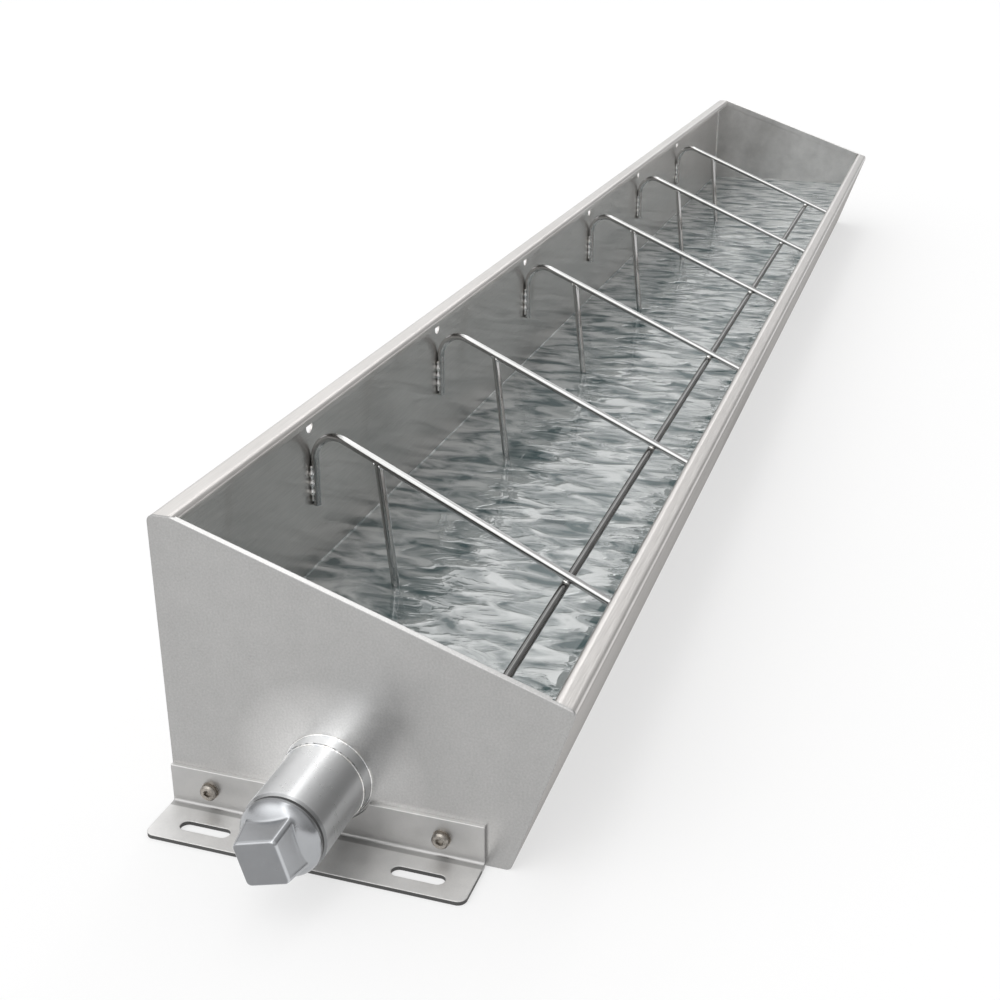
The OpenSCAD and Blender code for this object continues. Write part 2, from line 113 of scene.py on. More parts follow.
# Other sizes of the CAD model, in millimetres and radians
SHEET = 1.5
FOLD = 3
BACK_RIM_WIDTH = 17.5
TOP_SLOPE = math.radians(18.92)
FRONT_HEIGHT = 123
FRONT_FLARE = 41
FIRST_BAY = 228
ROD_SKEW = math.radians(12)
HOOK_RADIUS = 22
HOOK_HEIGHT = 163
STUB_LENGTH = 38
ROD_END_HEIGHT = 100
LEG_SETBACK = 32
LEG_LEAN = math.radians(7)
TIE_SETBACK = 51
JOINT_GAP = 0.1

# Faces and lines that follow from these sizes
WALL_FACE = HALF_FLOOR - SHEET
BACK_RIM = (HALF_FLOOR - BACK_RIM_WIDTH, BACK_HEIGHT)
FRONT_LEAN = math.atan2(FRONT_FLARE, FRONT_HEIGHT)
FRONT_IN = Vector((math.cos(FRONT_LEAN), math.sin(FRONT_LEAN)))
STUB_Y = WALL_FACE - ROD_R - JOINT_GAP

# Plug, along its axis from the end plate's outer face
SHANK_START = out_from("drain_plug")
SHANK_CHAMFER = 0.6
SHANK_R = 23.9
THREAD_PITCH = 2.31
THREAD_DEPTH = 1.3
THREAD_CREST = 0.12
THREAD_FLANK = 0.76
THREAD_STEPS = 8
THREAD_END = 64
GASKET_OUT = out_to("drain_gasket")
SHOULDER_R = half_size("drain_plug", Z)
# Inset and rise of each ring of the shoulder's rounded edge
SHOULDER_EDGE = ((0.7, 0), (0.2, 0.2), (0, 0.7))
DOME_BASE = 68
DOME_RISE = 11
DOME_FILLET = 0.7
DOME_RINGS = 26
HEAD_BASE = 18
HEAD_FACE = 15
HEAD_CORNER = 3.5
HEAD_EDGE = 1.8
HEAD_TURN = math.radians(17)
HEAD_RINGS = 6
EDGE_RINGS = 5
PLUG_FACE = out_to("drain_plug")
PLUG_SIDES = 128

# Screws, along their axes from the end plate's outer face
SCREW_R = 3
SCREW_END = out_from("foot_screws_drain")
SCREW_TIP = 0.6
HEAD_SEAT = out_to("foot_washers_drain")
HEAD_TOP = out_to("foot_screws_drain")
HEAD_R = half_size("foot_screws_drain", Z)
HEAD_ROUND = 0.3
HEAD_CHAMFER = 1.1
KNURL_RIBS = 40
KNURL_DEPTH = 0.24
KNURL_SIDES = 4 * KNURL_RIBS
KNURL_STOP = 0.5
BAND_START = 0.3
HEX_R = 2.7
HEX_DEPTH = 2.5
HEX_CHAMFER = 0.3
PIT_R = 0.4
PIT_DEPTH = 0.5

# Weld beads
BEAD_STEP = 0.7
BEAD_SIDES = 8
BEAD_WAVE = 2.6
BEAD_LUMP = 0.16
FEWEST_STEPS = 6

# Water
WATER_LEVEL = 72
WATER_SINK = 0.5
WATER_STEP = 3
CORNER_STEPS = 5
MENISCUS_WIDTH = 3
MENISCUS_HEIGHT = 1.6
MENISCUS_STEPS = 4
# Length along the trough, length across it, noise layer and height of each kind of ripple
RIPPLES = ((40, 70, 0.3, 0.5), (16, 30, 4.7, 0.3))


def rod_line():
    """Hook's end, front end and direction of a rod's straight run, as (y, z) in the rod's own plane."""
    at_wall = Vector((-HALF_FLOOR - FRONT_FLARE * ROD_END_HEIGHT / FRONT_HEIGHT, ROD_END_HEIGHT))
    seat = at_wall + (SHEET + JOINT_GAP) * FRONT_IN
    end = Vector((STUB_Y - (STUB_Y - seat.x) / math.cos(ROD_SKEW), seat.y))
    middle = Vector((STUB_Y - HOOK_RADIUS, HOOK_HEIGHT))
    to_end = end - middle
    slope = math.atan2(-to_end.y, -to_end.x) + math.asin(HOOK_RADIUS / to_end.length)
    along = Vector((-math.cos(slope), -math.sin(slope)))
    down = Vector((math.sin(slope), -math.cos(slope)))
    return middle - HOOK_RADIUS * down, end, along


HOOK_END, ROD_END, ROD_ALONG = rod_line()


def rod_x(i):
    return FIRST_BAY - HALF_LENGTH + i * BAY_PITCH


def in_trough(i, p):
    """Place in the trough of a point in the plane of rod number i."""
    reach = STUB_Y - p.x
    return Vector((rod_x(i) - reach * math.sin(ROD_SKEW), STUB_Y - reach * math.cos(ROD_SKEW), p.y))


def heading(v):
    """Direction in the trough of a direction in a rod's plane."""
    return Vector((v.x * math.sin(ROD_SKEW), v.x * math.cos(ROD_SKEW), v.y))


def front_face(z):
    """Inner face of the leaning front wall at a height."""
    slope = math.tan(FRONT_LEAN)
    return -HALF_FLOOR - slope * z + SHEET * math.hypot(1, slope)


def new_material(name):
    material = bpy.data.materials.new(name)
    material.use_nodes = True
    return material, material.node_tree, material.node_tree.nodes["Principled BSDF"]


def feed(tree, node, inputs):
    """Sets or links a node's inputs."""
    for key, value in inputs.items():
        if isinstance(value, bpy.types.NodeSocket):
            tree.links.new(value, node.inputs[key])
        else:
            node.inputs[key].default_value = value


def add_node(tree, kind, inputs=None, **settings):
    """Adds a node, sets its attributes, and sets or links its inputs."""
    node = tree.nodes.new(kind)
    for key, value in settings.items():
        setattr(node, key, value)
    feed(tree, node, inputs or {})
    return node


def math_node(tree, operation, first, second):
    return add_node(tree, "ShaderNodeMath", {0: first, 1: second}, operation=operation).outputs[0]


def vector_node(tree, operation, inputs, output="Vector"):
    return add_node(tree, "ShaderNodeVectorMath", inputs, operation=operation).outputs[output]


def place(tree, stretch=(1, 1, 1)):
    """Position in the frame, in metres, stretched along the axes."""
    coordinates = add_node(tree, "ShaderNodeTexCoord")
    inputs = {"Vector": coordinates.outputs["Object"], "Scale": stretch}
    return add_node(tree, "ShaderNodeMapping", inputs).outputs["Vector"]


def place_along(tree, axis):
    """Position along one axis of the frame, in metres."""
    return add_node(tree, "ShaderNodeSeparateXYZ", {"Vector": place(tree)}).outputs[axis]


def height_over(tree, point, up):
    """Height of the shaded place over a plane through a point, in metres."""
    height = vector_node(tree, "DOT_PRODUCT", {0: place(tree), 1: up}, "Value")
    return math_node(tree, "SUBTRACT", height, up.dot(MM * Vector(point)))


def clouds(tree, vector, scale, detail=4, rough=0.55, distortion=0.0):
    inputs = {"Vector": vector, "Scale": scale, "Detail": detail, "Roughness": rough,
              "Distortion": distortion}
    return add_node(tree, "ShaderNodeTexNoise", inputs).outputs["Fac"]


def span(tree, value, low, high, start=0.3, end=0.7, **settings):
    """Maps a texture's value from start..end to low..high."""
    inputs = {"Value": value, "From Min": start, "From Max": end, "To Min": low, "To Max": high}
    return add_node(tree, "ShaderNodeMapRange", inputs, **settings).outputs["Result"]


def fade(tree, distance, low, high, start, end):
    """Maps a distance from start..end, in millimetres, to low..high."""
    return span(tree, distance, low, high, start * MM, end * MM)


def two_colours(tree, share, first, second):
    """Mixes two colours, each given as red, green and blue or as a socket."""
    ends = [end if isinstance(end, bpy.types.NodeSocket) else (*end, 1) for end in (first, second)]
    # The node has several inputs of one name, so its colours go by number
    inputs = {0: share, 6: ends[0], 7: ends[1]}
    return add_node(tree, "ShaderNodeMix", inputs, data_type="RGBA").outputs[2]


def relief(tree, height, strength=0.2, depth=0.1, **normal):
    """Normal of a bump whose depth is in millimetres."""
    inputs = {"Strength": strength, "Distance": depth * MM, "Height": height, **normal}
    return add_node(tree, "ShaderNodeBump", inputs).outputs["Normal"]


def steel(name, dark, pale, rough, grain=(1, 1, 1), grain_scale=900, bump=0.04,
          cloud=7, blotch=60, edge=0.4, shares=(0.45, 0.35, 0.2)):
    """Stainless steel: cloudy tone, blotches, fine grain in roughness and relief, and softened edges.

    The shares say how much of the tone the clouds, the blotches and the grain each give.
    """
    grain_rough, grain_depth = 0.03, 0.2
    material, tree, shader = new_material(name)
    wide = span(tree, clouds(tree, place(tree), cloud), 0, shares[0])
    spots = clouds(tree, place(tree), blotch, detail=5, rough=0.6)
    lines = clouds(tree, place(tree, grain), grain_scale, detail=2)
    tone = math_node(tree, "ADD", wide, span(tree, spots, 0, shares[1]))
    tone = math_node(tree, "ADD", tone, span(tree, lines, 0, shares[2]))
    grain_gloss = span(tree, lines, -grain_rough, grain_rough)
    rounded = add_node(tree, "ShaderNodeBevel", {"Radius": edge * MM}, samples=4)
    feed(tree, shader, {
        "Metallic": 1,
        "Base Color": two_colours(tree, tone, dark, pale),
        "Roughness": math_node(tree, "ADD", span(tree, spots, *rough), grain_gloss),
        "Normal": relief(tree, lines, bump, grain_depth, Normal=rounded.outputs["Normal"]),
    })
    return material


def shaded(material, amount):
    """Scales a finish's base colour by a texture's value."""
    tree = material.node_tree
    socket = tree.nodes["Principled BSDF"].inputs["Base Color"]
    inputs = {0: socket.links[0].from_socket, "Scale": amount(tree)}
    tree.links.new(vector_node(tree, "SCALE", inputs), socket)


def roughened(material, amount):
    """Adds a texture's value to a finish's roughness."""
    tree = material.node_tree
    socket = tree.nodes["Principled BSDF"].inputs["Roughness"]
    tree.links.new(math_node(tree, "ADD", socket.links[0].from_socket, amount(tree)), socket)


def drawn(material, along, amount):
    """Spreads a finish's gloss along one direction, as fine lines across it do."""
    tree = material.node_tree
    lines = add_node(tree, "ShaderNodeCombineXYZ", dict(zip("XYZ", along)))
    inputs = {"Anisotropic": amount, "Tangent": lines.outputs["Vector"]}
    feed(tree, tree.nodes["Principled BSDF"], inputs)
    return material


def sheet_steel():
    """Trough's sheet: brushed along the trough, with a faint clear gloss.

    The outside of the front wall is rougher and has no gloss, and its darker base colour is painted shade.
    """
    material = steel("satin_sheet", dark=(0.57, 0.547, 0.527), pale=(0.77, 0.745, 0.722),
                     rough=(0.33, 0.38), grain=(0.04, 1, 1), bump=0.5, cloud=5, shares=(0.5, 0.1, 0.4))
    tree = material.node_tree
    outer_shade, outer_rough, gloss, gloss_rough = 0.68, 0.3, 0.8, 0.05
    skin_from, skin_to = 0.4, 0.8

    def outside(tree, outer, plain):
        into = height_over(tree, (0, -HALF_FLOOR, 0), Vector((0, *FRONT_IN)))
        return fade(tree, into, outer, plain, skin_from, skin_to)

    # Painted shade: a darker base colour on the outside of the front wall
    shaded(material, lambda tree: outside(tree, outer_shade, 1))
    roughened(material, lambda tree: outside(tree, outer_rough, 0))
    inputs = {"Coat Roughness": gloss_rough, "Coat Weight": outside(tree, 0, gloss)}
    feed(tree, tree.nodes["Principled BSDF"], inputs)
    return material


def plate_steel(name, dark, pale, cloud, shares):
    """End plate: satin on its faces, with a painted highlight along the folded top edge."""
    material = steel(name, dark, pale, rough=(0.3, 0.36), grain_scale=700, edge=1, cloud=cloud,
                     shares=shares)
    edge_highlight_tone, edge_from, edge_to = 1.5, -0.8, -0.3

    # Painted highlight: a brighter base colour along the plate's top edge
    def painted_edge_highlight(tree):
        up = Vector((0, -math.sin(TOP_SLOPE), math.cos(TOP_SLOPE)))
        over = height_over(tree, (0, *BACK_RIM), up)
        return fade(tree, over, 1, edge_highlight_tone, edge_from, edge_to)

    shaded(material, painted_edge_highlight)
    return material


def painted_drain_glow(tree):
    """Brighter plate round the drain: a painted reflection of the drain fitting's highlight."""
    glow_tone, ring_from, ring_to = 1.5, 34, 70
    drain = MM * Vector((-HALF_LENGTH, DRAIN_SIDE, DRAIN_HEIGHT))
    off = vector_node(tree, "DISTANCE", {0: place(tree), 1: drain}, "Value")
    return fade(tree, off, glow_tone, 1, ring_from, ring_to)


def cast_steel():
    """Plug's cast steel: polished, with a painted highlight round the edge of the head, and darker on its
    face.
    """
    material = steel("cast_steel", dark=(0.38, 0.39, 0.405), pale=(0.47, 0.48, 0.495),
                     rough=(0.18, 0.26), bump=0.03, blotch=110)
    edge_highlight_tone, edge_from, edge_to = 1.4, 1.6, 2.6
    face_tone, face_from, face_to = 0.45, 0.1, 0.7

    def head_highlight_and_dark_face(tree):
        out = place_along(tree, "X")
        face = -HALF_LENGTH - PLUG_FACE
        # Painted highlight: a brighter base colour round the edge of the head's face
        painted_edge_highlight = fade(tree, out, edge_highlight_tone, 1, face + edge_from, face + edge_to)
        darker_face = fade(tree, out, face_tone, 1, face + face_from, face + face_to)
        return math_node(tree, "MULTIPLY", painted_edge_highlight, darker_face)

    shaded(material, head_highlight_and_dark_face)
    return material


def turned_steel():
    """Drain fitting's polished steel, with painted shade at the mouth and on the feeding side.

    Fine turning lines run round the drain's axis.
    """
    material = steel("polished_fitting", dark=(0.86, 0.87, 0.88), pale=(0.93, 0.94, 0.95),
                     rough=(0.28, 0.34), grain=(1, 0.2, 0.2), bump=0)
    mouth_shade, mouth_from, mouth_to = 0.45, 1.2, 1.8
    side_shade, side_from, side_to = 0.6, -25, -8

    # Painted shade: a darker base colour at the mouth's bevel and on the tube's feeding side
    def painted_shade_parts(tree):
        mouth = -HALF_LENGTH - SOCKET_REACH
        at_mouth = fade(tree, place_along(tree, "X"), mouth_shade, 1, mouth + mouth_from, mouth + mouth_to)
        side = place_along(tree, "Y")
        at_side = fade(tree, side, side_shade, 1, DRAIN_SIDE + side_from, DRAIN_SIDE + side_to)
        return math_node(tree, "MULTIPLY", at_mouth, at_side)

    shaded(material, painted_shade_parts)
    return drawn(material, ALONG, amount=1)


def bracket_steel():
    """Foot brackets' folded plate: cloudy satin, with a painted highlight along the top and painted light
    on the flange.

    The flange is rougher, and its cut sides have painted shade.
    """
    material = steel("folded_plate", dark=(0.39, 0.387, 0.382), pale=(0.53, 0.526, 0.52),
                     rough=(0.36, 0.46), bump=0.02, edge=0.8, cloud=18, shares=(0.5, 0.35, 0.15))
    flange_from, flange_to = HALF_LENGTH + 8, HALF_LENGTH + 9
    flange_light_tone, flange_rough = 0.7, 0.12
    side_shade, side_from, side_to = 1.45, FOOT_PLATE - 0.5, FOOT_PLATE - 0.2
    top_highlight_tone, top_from, top_to = 1.5, FOOT_HEIGHT - 0.8, FOOT_HEIGHT - 0.3

    def on_flange(tree, amount):
        out = math_node(tree, "ABSOLUTE", place_along(tree, "X"), 0)
        return fade(tree, out, 0, amount, flange_from, flange_to)

    # Painted light and shade: a highlight along the top, a lighter flange and darker cut sides
    def painted_light_and_shade(tree):
        height = place_along(tree, "Z")
        painted_cut_side_shade = fade(tree, height, side_shade, 0, side_from, side_to)
        bright = fade(tree, height, 1, top_highlight_tone, top_from, top_to)
        bright = math_node(tree, "ADD", bright, on_flange(tree, flange_light_tone))
        dark = math_node(tree, "MULTIPLY", on_flange(tree, 1), painted_cut_side_shade)
        return math_node(tree, "SUBTRACT", bright, dark)

    shaded(material, painted_light_and_shade)
    roughened(material, lambda tree: on_flange(tree, flange_rough))
    return material


def weld_metal():
    """Weld metal: bright with straw and blue heat tints."""
    bright, straw, blue = (0.86, 0.86, 0.85), (0.80, 0.78, 0.74), (0.66, 0.68, 0.71)
    straw_from, straw_to, blue_to, blue_from = 0.5, 0.68, 0.32, 0.46
    rough = (0.07, 0.18)
    material, tree, shader = new_material("weld_metal")
    heat = clouds(tree, place(tree), scale=130, detail=3)
    tint = two_colours(tree, span(tree, heat, 0, 1, straw_from, straw_to), bright, straw)
    tint = two_colours(tree, span(tree, heat, 1, 0, blue_to, blue_from), tint, blue)
    grain = clouds(tree, place(tree), scale=1400, detail=3)
    feed(tree, shader, {"Metallic": 1, "Base Color": tint, "Roughness": span(tree, grain, *rough),
                        "Normal": relief(tree, grain)})
    return material


def rubber(name, colour):
    """Matt rubber with paler specks."""
    speck_tone, rough = 1.7, (0.55, 0.75)
    material, tree, shader = new_material(name)
    specks = clouds(tree, place(tree), scale=1500, detail=2)
    paler = tuple(speck_tone * part for part in colour)
    tint = two_colours(tree, span(tree, specks, 0, 1), colour, paler)
    feed(tree, shader, {"Base Color": tint, "Roughness": span(tree, specks, *rough),
                        "Normal": relief(tree, specks)})
    return material


def water_material():
    """Slightly cloudy teal water, with teal and pale wavelets painted into its colour as the ripples'
    reflections, a patterned gloss and steep little crests.
    """
    teal, pale = (0.11, 0.17, 0.18), (0.78, 0.84, 0.84)
    tint_from, tint_to, least_gloss = 0.36, 0.64, 0.25
    crest_from, crest_to, crest_height = 0.42, 0.60, 0.5
    material, tree, shader = new_material("water")
    stretched = place(tree, stretch=(1, 0.45, 1))
    ripple = clouds(tree, stretched, scale=55, detail=3, rough=0.5, distortion=0.7)
    crest = span(tree, ripple, 0, 1, crest_from, crest_to, interpolation_type="SMOOTHSTEP")
    normal = relief(tree, crest, strength=1, depth=crest_height)
    feed(tree, shader, {
        "Roughness": 0.0, "IOR": 1.06, "Transmission Weight": 0.58,
        "Coat Roughness": 0.0, "Coat IOR": 4.4,
        # Painted reflection: the pale and teal wavelets in the base colour stand for the ripples'
        # reflections
        "Base Color": two_colours(tree, span(tree, ripple, 0, 1, tint_from, tint_to), teal, pale),
        "Coat Weight": span(tree, ripple, least_gloss, 1, tint_from, tint_to),
        "Normal": normal, "Coat Normal": normal,
    })
    return material


def painted_run_shade(tree):
    """Tone of the rods: painted shade makes the straight run darker than the hook."""
    run_tone, hook_tone = 0.68, 0.85
    run_to, hook_from = STUB_Y - 2 * HOOK_RADIUS, STUB_Y - HOOK_RADIUS
    return fade(tree, place_along(tree, "Y"), run_tone, hook_tone, run_to, hook_from)


def dress(material, *names):
    """Gives CAD nodes, by name or by the start of it, one finish."""
    for node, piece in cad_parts.items():
        if any(node.startswith(name) for name in names):
            piece.data.materials.clear()
            piece.data.materials.append(material)


def finishes():
    """Finishes of the CAD nodes that aren't replaced, apart from the washers and nuts."""
    bar = {"cloud": 30, "edge": 0.1}
    rods = steel("polished_rod", (0.62, 0.62, 0.615), (0.74, 0.74, 0.735), (0.12, 0.18), **bar)
    legs = steel("polished_leg", (0.52, 0.52, 0.516), (0.64, 0.64, 0.636), (0.07, 0.12), **bar)
    # Painted shade: the tie bar is a very dark copy of the rods' steel
    tie = steel("painted_shade_bar", (0.14, 0.14, 0.137), (0.24, 0.24, 0.236), (0.1, 0.18), **bar)
    # Painted shade darkens the rods' straight run
    shaded(drawn(rods, heading(ROD_ALONG), amount=0.6), painted_run_shade)
    drawn(legs, UPWARD, amount=0.4)
    near = plate_steel("satin_plate", (0.36, 0.357, 0.352), (0.50, 0.496, 0.49),
                       cloud=7, shares=(0.3, 0.2, 0.5))
    # Painted light: the far plate gets a paler base than the near plate, though both are one steel
    far = plate_steel("cloudy_plate_painted_light", (0.50, 0.492, 0.484), (0.80, 0.79, 0.78),
                      cloud=16, shares=(0.6, 0.25, 0.15))
    # Painted reflection: the near plate is brighter round the drain
    shaded(near, painted_drain_glow)
    dress(sheet_steel(), "trough_shell")
    dress(near, "end_plate_drain")
    dress(far, "end_plate_far")
    dress(bracket_steel(), "foot_bracket")
    dress(rods, "divider_rod")
    dress(legs, "divider_leg")
    dress(tie, "tie_bar")
    dress(turned_steel(), "drain_socket", "drain_collar")
    dress(rubber("black_rubber", (0.02, 0.02, 0.02)), "foot_seals")
    dress(rubber("dark_fibre", (0.05, 0.05, 0.05)), "drain_gasket")


def skin(rings, joined=False):
    """Points and faces over a row of equal rings, capped at its ends or joined into a loop."""
    size = len(rings[0])
    points = [point for ring in rings for point in ring]
    faces = []
    for k in range(len(rings) if joined else len(rings) - 1):
        here, there = k * size, (k + 1) % len(rings) * size
        for j in range(size):
            n = (j + 1) % size
            faces.append((here + j, here + n, there + n, there + j))
    if not joined:
        faces.append(tuple(range(size)))
        faces.append(tuple(range(len(points) - size, len(points))))
    return points, faces


def build(name, skins, material, body="trough", sharp=math.radians(50)):
    """Makes one piece of several skins, drawn in millimetres, that rides on a body."""
    mesh = bpy.data.meshes.new(name)
    shape = bmesh.new()
    for points, faces in skins:
        corners = [shape.verts.new(MM * Vector(point)) for point in points]
        for face in faces:
            shape.faces.new([corners[k] for k in face]).smooth = True
    bmesh.ops.recalc_face_normals(shape, faces=shape.faces)
    shape.to_mesh(mesh)
    shape.free()
    mesh.set_sharp_from_angle(angle=sharp)
    mesh.materials.append(material)
    piece = bpy.data.objects.new(name, mesh)
    bpy.context.scene.collection.objects.link(piece)
    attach(piece, body)
    return piece


def polar(count, shape):
    """Ring about Z with the radius and height that shape gives for each angle."""
    ring = []
    for k in range(count):
        angle = TURN * k / count
        radius, height = shape(angle)
        ring.append((radius * math.cos(angle), radius * math.sin(angle), height))
    return ring


def facing_out(rings, side, height, end=-1):
    """Turns rings drawn along Z to stand out from an end plate's outer face, at a place on it."""
    return [[(end * (HALF_LENGTH + z), side + y, height + x) for x, y, z in ring] for ring in rings]


def mixed(low, high, share):
    return low + (high - low) * share


def rounded_square(angle, half, corner):
    """Distance from the middle of a square with round corners to its edge."""
    c, s = abs(math.cos(angle)), abs(math.sin(angle))
    flat = half / max(c, s)
    middle = half - corner
    if flat * min(c, s) <= middle:
        return flat
    b = middle * (c + s)
    return b + math.sqrt(max(b * b - 2 * middle * middle + corner * corner, 0))


def thread_radius(angle, z):
    """Radius of the plug's threaded shank, with the groove running out at both ends."""
    phase = (z / THREAD_PITCH - angle / TURN) % 1
    groove = min(max((abs(2 * phase - 1) - THREAD_CREST) / THREAD_FLANK, 0), 1)
    run_out = min((z - SHANK_START) / THREAD_PITCH, (THREAD_END - z) / THREAD_PITCH, 1)
    return SHANK_R - THREAD_DEPTH * groove * max(run_out, 0)


def plug_radius(angle, z):
    """Radius of the plug above its shoulder: the square head filleted into the dome."""
    share = (z - DOME_BASE) / (PLUG_FACE - HEAD_EDGE - DOME_BASE)
    head = rounded_square(angle - HEAD_TURN, mixed(HEAD_BASE, HEAD_FACE, share), HEAD_CORNER)
    rise = (z - DOME_BASE) / DOME_RISE
    dome = SHOULDER_R * math.sqrt(max(1 - rise * rise, 0))
    return (head + dome + math.sqrt((head - dome) ** 2 + DOME_FILLET ** 2)) / 2


def plug():
    """Cast plug with a threaded shank, a domed shoulder and a tapered square head with a bare face."""
    rings = [polar(PLUG_SIDES, lambda a: (SHANK_R - THREAD_DEPTH - SHANK_CHAMFER, SHANK_START))]
    thread_rings = round((GASKET_OUT - SHANK_START) / THREAD_PITCH * THREAD_STEPS)
    for k in range(thread_rings + 1):
        z = mixed(SHANK_START + SHANK_CHAMFER, GASKET_OUT, k / thread_rings)
        rings.append(polar(PLUG_SIDES, lambda a: (thread_radius(a, z), z)))
    for inset, rise in SHOULDER_EDGE:
        rings.append(polar(PLUG_SIDES, lambda a: (SHOULDER_R - inset, GASKET_OUT + rise)))
    for k in range(DOME_RINGS + 1):
        z = DOME_BASE + DOME_RISE * math.sin(TURN / 4 * k / DOME_RINGS)
        rings.append(polar(PLUG_SIDES, lambda a: (plug_radius(a, z), z)))
    for k in range(1, HEAD_RINGS + 1):
        z = mixed(DOME_BASE + DOME_RISE, PLUG_FACE - HEAD_EDGE, k / HEAD_RINGS)
        rings.append(polar(PLUG_SIDES, lambda a: (plug_radius(a, z), z)))
    for k in range(1, EDGE_RINGS + 1):
        inset = HEAD_EDGE * (1 - math.cos(TURN / 4 * k / EDGE_RINGS))
        z = PLUG_FACE - HEAD_EDGE + HEAD_EDGE * math.sin(TURN / 4 * k / EDGE_RINGS)
        half, corner = HEAD_FACE - inset, HEAD_CORNER - inset
        rings.append(polar(PLUG_SIDES, lambda a: (rounded_square(a - HEAD_TURN, half, corner), z)))
    piece = build("cast_plug", [skin(facing_out(rings, DRAIN_SIDE, DRAIN_HEIGHT))], cast_steel(), "plug")
    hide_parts("drain_plug")


def screw_rings():
    """Socket-head screw with a knurled head and a hexagon socket."""
    def plain(radius, z):
        return polar(KNURL_SIDES, lambda a: (radius, z))

    def knurl(z):
        wave = KNURL_DEPTH / 2
        return polar(KNURL_SIDES, lambda a: (HEAD_R - wave * (1 - math.cos(KNURL_RIBS * a)), z))

    def hexagon(extra, z):
        flat = HEX_R * math.cos(TURN / 12)
        return polar(KNURL_SIDES, lambda a: (flat / math.cos((a % (TURN / 6)) - TURN / 12) + extra, z))

    chamfer_start = HEAD_TOP - HEAD_CHAMFER
    hex_floor = HEAD_TOP - HEX_DEPTH
    return [
        plain(SCREW_R - SCREW_TIP, SCREW_END),
        plain(SCREW_R, SCREW_END + SCREW_TIP),
        plain(SCREW_R, HEAD_SEAT),
        plain(HEAD_R - HEAD_ROUND, HEAD_SEAT),
        knurl(HEAD_SEAT + HEAD_ROUND),
        knurl(chamfer_start - KNURL_STOP),
        plain(HEAD_R, chamfer_start - BAND_START),
        plain(HEAD_R, chamfer_start),
        plain(HEAD_R - HEAD_CHAMFER, HEAD_TOP),
        hexagon(HEX_CHAMFER, HEAD_TOP),
        hexagon(0, HEAD_TOP - HEX_CHAMFER),
        hexagon(0, hex_floor),
        plain(PIT_R, hex_floor - PIT_DEPTH),
    ]


def screws():
    """Knurled screws at both ends, with one finish for them and their washers and nuts."""
    finish = steel("dull_fastener", dark=(0.26, 0.235, 0.21), pale=(0.42, 0.395, 0.36),
                   rough=(0.22, 0.34), blotch=300, edge=0.1)
    dress(finish, "foot_washers", "foot_nuts")
    for name, end in (("drain", -1), ("far", 1)):
        skins = [skin(facing_out(screw_rings(), side, SCREW_HEIGHT, end)) for side in SCREW_SIDES]
        piece = build(f"knurled_screws_{name}", skins, finish, sharp=math.radians(35))
        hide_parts(f"foot_screws_{name}")


def bead(path, radius, up, seed, joined=False, lump=BEAD_LUMP, pitch=BEAD_WAVE):
    """Lumpy weld bead along a path, whose ends taper unless they join."""
    noise_rate, noise_layer, noise_share = 0.35, 0.5, 0.2
    blunt, taper = 1.02, 6
    rings = []
    count = len(path)
    for k, point in enumerate(path):
        ahead = path[(k + 1) % count] if joined else path[min(k + 1, count - 1)]
        behind = path[k - 1] if joined else path[max(k - 1, 0)]
        across = (ahead - behind).cross(up).normalized()
        over = (ahead - behind).cross(across).normalized()
        wave = noise.noise((noise_rate * k * BEAD_STEP, seed, noise_layer))
        size = radius * (1 + lump * math.cos(TURN * k * BEAD_STEP / pitch) + noise_share * wave)
        if not joined:
            share = 2 * k / (count - 1) - 1
            size *= math.sqrt(blunt - share ** taper)
        angles = [TURN * j / BEAD_SIDES for j in range(BEAD_SIDES)]
        rings.append([point + size * (math.cos(a) * across + math.sin(a) * over) for a in angles])
    return skin(rings, joined)


def steps(length):
    return max(round(length / BEAD_STEP), FEWEST_STEPS)


def straight(start, end):
    """Path of even steps from start to end."""
    count = steps((end - start).length)
    return [start.lerp(end, k / count) for k in range(count + 1)]


def stub_beads():
    """Two upright rows of weld drops beside each rod's stub on the back wall."""
    skins = []
    beside, off_wall, margin = ROD_R + 0.8, 1.6, 4
    drop, lump, pitch = 1.7, 0.36, 7.5
    bottom = HOOK_HEIGHT - STUB_LENGTH + margin
    for i in range(ROD_COUNT):
        for side in (-1, 1):
            low = Vector((rod_x(i) + side * beside, WALL_FACE - off_wall, bottom))
            high = low + Vector((0, 0, STUB_LENGTH - 2 * margin))
            skins.append(bead(straight(low, high), drop, ALONG, 2 * i + side, lump=lump, pitch=pitch))
    return skins


def leg_beads():
    """Beads before and behind the top of each leg, along the line where it meets its rod."""
    skins = []
    radius, size, first_seed = ROD_R + 0.3, 1.1, 20
    top = HOOK_END + LEG_SETBACK * ROD_ALONG
    rod = heading(ROD_ALONG)
    leg = heading(Vector((-math.sin(LEG_LEAN), -math.cos(LEG_LEAN))))
    across = rod.cross(leg).normalized()
    before = across.cross(leg)
    half_arc = math.radians(62)
    count = steps(2 * half_arc * radius)
    for i in range(ROD_COUNT):
        for side in (-1, 1):
            path = []
            for k in range(count + 1):
                angle = mixed(-half_arc, half_arc, k / count)
                off = radius * (side * math.cos(angle) * before + math.sin(angle) * across)
                # Slides the point along the leg to where it meets the rod's surface
                off_rod, leg_rod = off - off.dot(rod) * rod, leg - leg.dot(rod) * rod
                a, b = leg_rod.length_squared, off_rod.dot(leg_rod)
                c = off_rod.length_squared - radius ** 2
                path.append(in_trough(i, top) + off + (math.sqrt(max(b * b - a * c, 0)) - b) / a * leg)
            skins.append(bead(path, size, leg, first_seed + 2 * i + side))
    return skins


